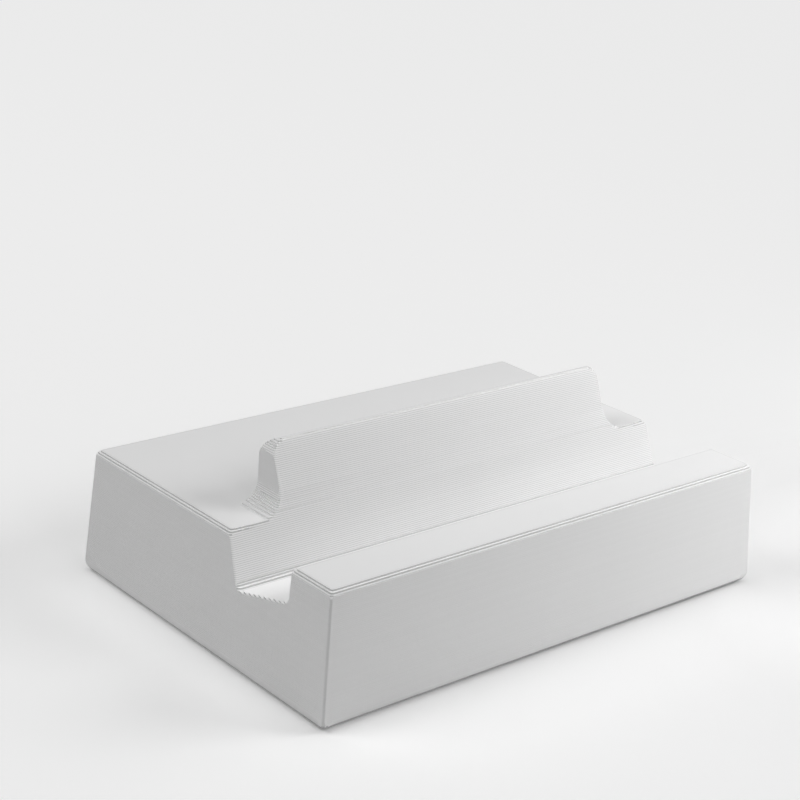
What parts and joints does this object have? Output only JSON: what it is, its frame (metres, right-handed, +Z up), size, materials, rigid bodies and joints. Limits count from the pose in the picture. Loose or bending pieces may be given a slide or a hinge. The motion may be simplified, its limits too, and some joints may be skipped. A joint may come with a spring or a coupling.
{
  "type": "charging dock",
  "caption": "One-piece printed charging dock with a leaning slot for a handheld console, a raised back support, and a plug passage that opens into a cable channel underneath.",
  "frame": {"origin": "on the table, under the middle of the base", "axes": "+X along the dock, from its left end to its right end seen from the front; -Y to the front lip; +Z up"},
  "size_m": [0.1076, 0.0746, 0.0376],
  "materials": {
    "printed_plastic": "matt white printed plastic with fine level layer lines"
  },
  "bodies": {
    "root": {"dock_body": "printed_plastic"}
  },
  "joints": []
}
